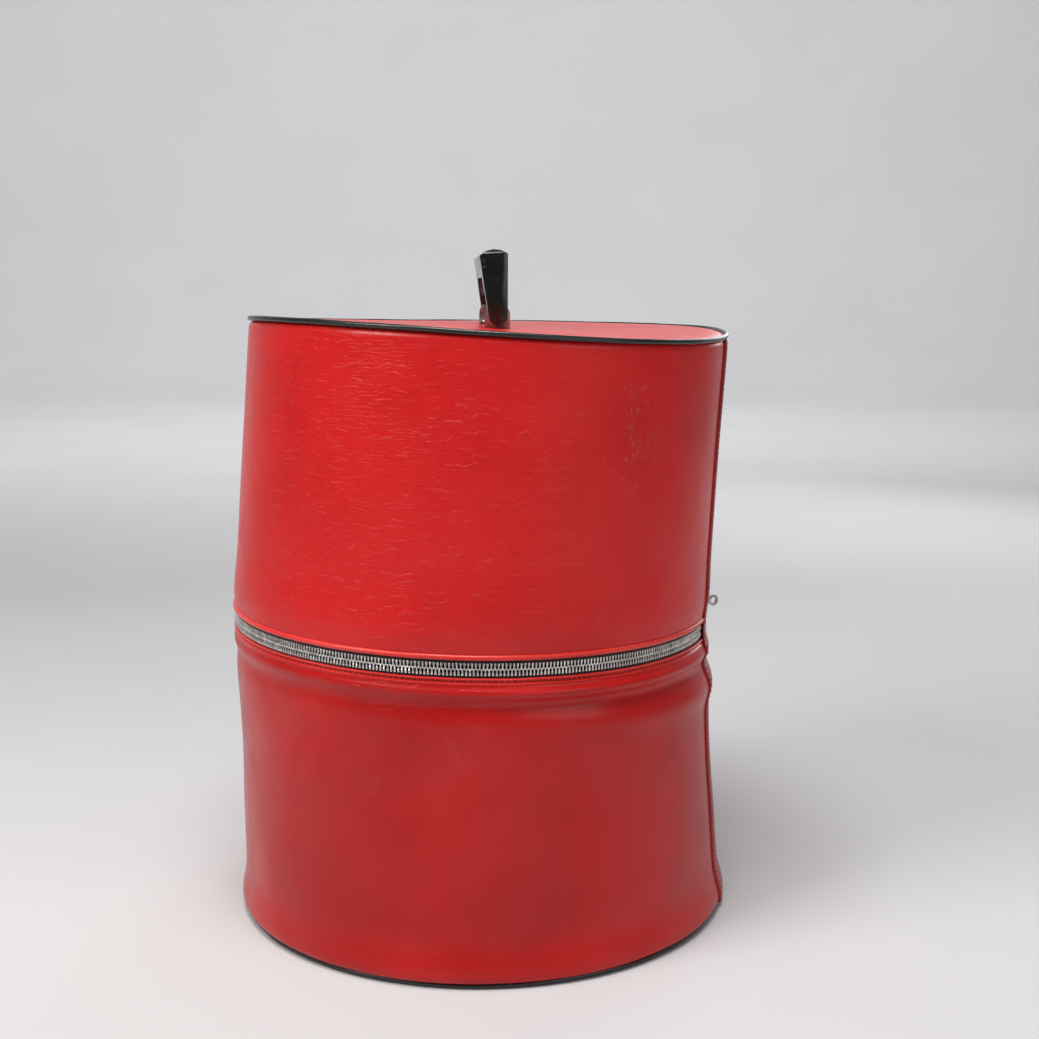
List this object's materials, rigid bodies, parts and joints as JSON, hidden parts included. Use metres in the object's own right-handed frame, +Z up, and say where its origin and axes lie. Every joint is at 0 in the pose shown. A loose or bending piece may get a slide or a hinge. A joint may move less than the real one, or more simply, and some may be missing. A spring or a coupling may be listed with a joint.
{
  "type": "zip-around round carrying case",
  "caption": "Round drum-shaped carrying case in glossy red leathercloth, parted halfway up by a metal zip, with a cloth-hinged lid and a folding handle.",
  "frame": {"origin": "middle of the underside of the base, on the surface that it stands on", "axes": "+Z up; +Y towards the hinge strip at the back; X along the handle and the hinge"},
  "size_m": [0.2652, 0.2781, 0.3558],
  "materials": {
    "red_leathercloth": "glossy wrinkled leathercloth",
    "dark_red_strip": "glossy leathercloth, backing strip",
    "black_piping": "glossy extruded cord",
    "fibreboard": "pressed brown board",
    "black_lining": "woven cloth",
    "zip_tape": "woven tape",
    "zip_metal": "satin, slightly worn",
    "slider_metal": "nickel plated",
    "handle_plastic": "smooth satin moulded plastic",
    "bracket_steel": "nickel-plated steel"
  },
  "bodies": {
    "base": {"base_bottom_cover": "red_leathercloth", "base_floor_board": "fibreboard", "base_floor_lining": "black_lining", "base_wall_board": "fibreboard", "base_wall_cover": "red_leathercloth", "base_wall_lining": "black_lining", "base_piping": "black_piping", "base_zip_edge": "red_leathercloth", "zip_tape_lower": "zip_tape", "zip_teeth_lower": "zip_metal", "zip_end_tapes": "zip_tape", "zip_end_teeth": "zip_metal", "zip_end_stops": "zip_metal", "hinge_strip_lower": "dark_red_strip", "hinge_strip_bend": "dark_red_strip", "hinge_lining_lower": "black_lining"},
    "lid": {"lid_top_cover": "red_leathercloth", "lid_top_board": "fibreboard", "lid_top_lining": "black_lining", "lid_wall_board": "fibreboard", "lid_wall_cover": "red_leathercloth", "lid_wall_lining": "black_lining", "lid_piping": "black_piping", "lid_zip_edge": "red_leathercloth", "zip_tape_upper": "zip_tape", "zip_teeth_upper": "zip_metal", "hinge_strip_upper": "dark_red_strip", "hinge_lining_upper": "black_lining", "handle_bracket_right": "bracket_steel", "handle_bracket_left": "bracket_steel", "handle_pins": "bracket_steel", "handle_rivets": "bracket_steel", "handle_backing_plates": "bracket_steel"},
    "slider": {"zip_slider": "slider_metal"},
    "pull": {"zip_pull": "slider_metal"},
    "handle": {"handle_grip": "handle_plastic"}
  },
  "joints": [
    {"name": "lid_hinge", "type": "hinge", "parent": "base", "child": "lid", "pos_m": [0, 0.12233, 0.15563], "axis": [-1, 0, 0], "range_deg": [0, 100], "deforming": ["hinge_strip_bend"]},
    {"name": "slider_travel", "type": "hinge", "parent": "base", "child": "slider", "pos_m": [0, -0.00653, 0.159], "axis": [0, 0.0262, 0.9997], "range_deg": [0, 315.9]},
    {"name": "pull_swing", "type": "hinge", "parent": "slider", "child": "pull", "pos_m": [-0.04899, 0.1146, 0.15583], "axis": [0, 0.0262, 0.9997], "range_deg": [-85, 85]},
    {"name": "handle_fold", "type": "hinge", "parent": "lid", "child": "handle", "pos_m": [-0.00006, 0.00691, 0.3221], "axis": [0.9999, 0, 0.0105], "range_deg": [-88, 76]}
  ]
}
